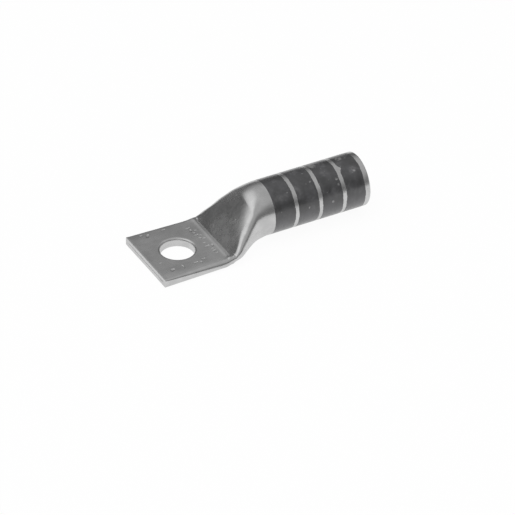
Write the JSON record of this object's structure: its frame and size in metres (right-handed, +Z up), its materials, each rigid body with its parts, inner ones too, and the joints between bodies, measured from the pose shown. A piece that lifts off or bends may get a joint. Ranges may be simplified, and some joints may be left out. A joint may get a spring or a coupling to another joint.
{
  "type": "cable lug",
  "caption": "Long-barrel crimp cable lug pressed from tube: flat pad with a stud hole, flattened transition and round wire barrel with dark printed crimp bands.",
  "frame": {"origin": "centre of the stud hole on the underside of the pad", "axes": "+X from the stud hole towards the barrel mouth, +Z up through the stud hole, out of the pad's upper face"},
  "size_m": [0.0932, 0.033, 0.0219],
  "materials": {
    "tinned_copper": "satin",
    "band_ink": "matte"
  },
  "bodies": {
    "root": {"lug_body": "tinned_copper", "crimp_band_1": "band_ink", "crimp_band_2": "band_ink", "crimp_band_3": "band_ink", "crimp_band_4": "band_ink"}
  },
  "joints": []
}
